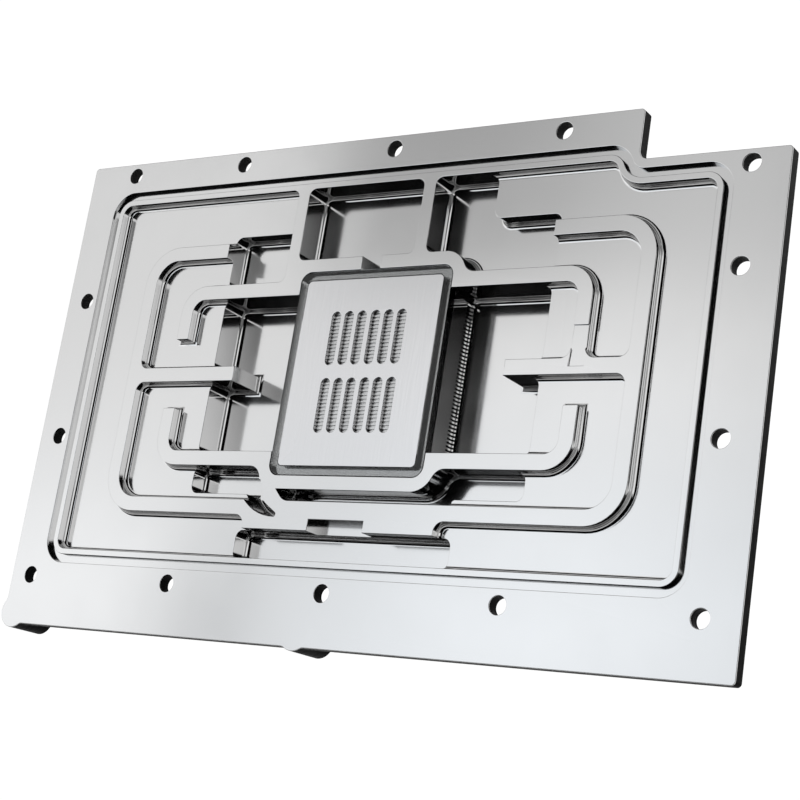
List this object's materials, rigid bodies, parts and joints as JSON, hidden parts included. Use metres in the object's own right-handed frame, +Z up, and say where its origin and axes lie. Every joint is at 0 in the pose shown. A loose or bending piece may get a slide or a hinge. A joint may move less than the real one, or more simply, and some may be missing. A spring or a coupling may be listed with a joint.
{
  "type": "liquid cooling cold plate",
  "caption": "Milled, plated copper cold plate, water side up: open chamber with raised flow-guide ribs, deep pockets, micro fins under a jet block with a clear plate and a thin slotted plate.",
  "frame": {"origin": "centre of the chip contact face on the underside", "axes": "+X along the long side, towards the end with the corner notch; +Y towards the notched long side; +Z up out of the water side"},
  "size_m": [0.2173, 0.1353, 0.0157],
  "materials": {
    "nickel": "bright nickel plate over milled copper",
    "clear": "clear polished acrylic",
    "steel": "bright stainless sheet"
  },
  "bodies": {
    "root": {"cold_plate": "nickel", "jet_block": "nickel", "clear_plate": "clear", "jet_plate": "steel"}
  },
  "joints": []
}
